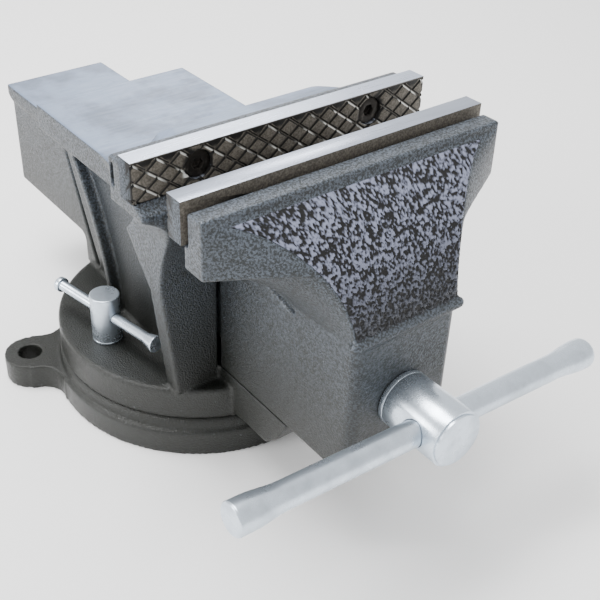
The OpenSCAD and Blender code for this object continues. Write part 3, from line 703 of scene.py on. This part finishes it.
class VISE_OT_spindle(bpy.types.Operator):
    """Finish the spindle with its thread, washers, spring and collar"""

    bl_idname = "vise.spindle"
    bl_label = "Spindle"

    def execute(self, context):
        shape = context.scene.vise_shape
        head = bevelled("spindle", shape.machined_edge)
        piece("spindle_threaded", self.threaded(head, shape), ["spindle"], "zinc_plate")
        for node, finish in (
            ("thrust_washer", "zinc_plate"), ("spring_washer", "zinc_plate"),
            ("spindle_collar", "jaw_steel"), ("collar_pin", "dark_steel"),
            ("nut_bolt", "dark_steel"), ("nut_washer", "zinc_plate"), ("spindle_nut", "bare_iron"),
        ):
            piece(node + "_turned", bevelled(node, shape.machined_edge * 0.6), [node], finish)
        spring = smooth_faces(merged_copy("spindle_spring"), 60)
        piece("spindle_spring_wire", spring, ["spindle_spring"], "dark_steel")
        return {"FINISHED"}

    def threaded(self, head, shape):
        """The spindle with a right-hand thread from the neck to its end.

        With f = |2 (fraction of (y / pitch - a / turn)) - 1|, the radius is R - depth * (1 - w),
        where w rises straight from 0 at f = 0.22 to 1 at f = 0.72 and is level on both sides."""
        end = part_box("spindle")[1][1]
        axis_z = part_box("thrust_washer")[0][2] / 2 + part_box("thrust_washer")[1][2] / 2
        radius, cut = 0.013, -0.1505
        run_in, run_out, rows_a_turn, sides = 0.004, 0.002, 10, 48
        work = bmesh.new()
        work.from_mesh(head)
        bmesh.ops.bisect_plane(
            work, geom=work.verts[:] + work.edges[:] + work.faces[:],
            plane_co=(0, cut, 0), plane_no=(0, 1, 0), clear_outer=True,
        )
        rim = [e for e in work.edges if e.is_boundary]
        bmesh.ops.holes_fill(work, edges=rim)
        rows = int((end - cut) / shape.thread_pitch * rows_a_turn)
        y = np.linspace(cut - 0.0005, end, rows)[:, None]
        a = np.linspace(0, 2 * math.pi, sides, endpoint=False)[None, :]
        f = np.abs(2 * np.mod(y / shape.thread_pitch - a / (2 * math.pi), 1) - 1)
        wave = np.clip((f - 0.22) / 0.5, 0, 1)
        full = np.clip((y - cut) / run_in, 0, 1) * np.clip((end - y) / run_out + 0.3, 0, 1)
        r = radius - shape.thread_depth * (1 - wave) * full
        points = np.stack([r * np.sin(a), y + 0 * a, axis_z + r * np.cos(a)], -1)
        screw = closed_grid("screw", points)
        work.from_mesh(screw)
        work.to_mesh(head)
        work.free()
        return smooth_faces(head, 40)


class VISE_OT_bars(bpy.types.Operator):
    """Turn the handle bar and the two tommy bars"""

    bl_idname = "vise.bars"
    bl_label = "Bars"

    def execute(self, context):
        shape = context.scene.vise_shape
        for node in ("handle_bar", "tommy_bar_left", "tommy_bar_right"):
            piece(node + "_turned", bevelled(node, shape.machined_edge), [node], "zinc_plate")
        return {"FINISHED"}


class VISE_OT_locks(bpy.types.Operator):
    """Finish the swivel's lock bolts, nuts, washers and pivot"""

    bl_idname = "vise.locks"
    bl_label = "Swivel locks"

    def execute(self, context):
        shape = context.scene.vise_shape
        for node, finish in (
            ("lock_nut_left", "zinc_plate"), ("lock_nut_right", "zinc_plate"),
            ("lock_washer_left", "zinc_plate"), ("lock_washer_right", "zinc_plate"),
            ("lock_bolt_left", "dark_steel"), ("lock_bolt_right", "dark_steel"),
            ("pivot_bolt", "zinc_plate"), ("pivot_washer", "zinc_plate"),
        ):
            piece(node + "_turned", bevelled(node, shape.machined_edge), [node], finish)
        return {"FINISHED"}


class VISE_PT_panel(bpy.types.Panel):
    """Lists the steps that finish the vise"""

    bl_idname = "VISE_PT_panel"
    bl_label = "Bench Vise"
    bl_space_type = "VIEW_3D"
    bl_region_type = "UI"
    bl_category = "Vise"

    def draw(self, context):
        for step in STEPS:
            self.layout.operator(step.bl_idname)


STEPS = (
    VISE_OT_stage, VISE_OT_castings, VISE_OT_shield, VISE_OT_jaw_plates,
    VISE_OT_spindle, VISE_OT_bars, VISE_OT_locks,
)
CLASSES = (ViseShape, ViseFinish, *STEPS, VISE_PT_panel)


def register():
    for cls in CLASSES:
        bpy.utils.register_class(cls)
    bpy.types.Scene.vise_shape = bpy.props.PointerProperty(type=ViseShape)
    bpy.types.Scene.vise_finish = bpy.props.PointerProperty(type=ViseFinish)


def unregister():
    del bpy.types.Scene.vise_finish
    del bpy.types.Scene.vise_shape
    for cls in reversed(CLASSES):
        bpy.utils.unregister_class(cls)


def main():
    register()
    bpy.ops.vise.stage()
    bpy.ops.vise.castings()
    bpy.ops.vise.shield()
    bpy.ops.vise.jaw_plates()
    bpy.ops.vise.spindle()
    bpy.ops.vise.bars()
    bpy.ops.vise.locks()


if __name__ == "__main__":
    main()
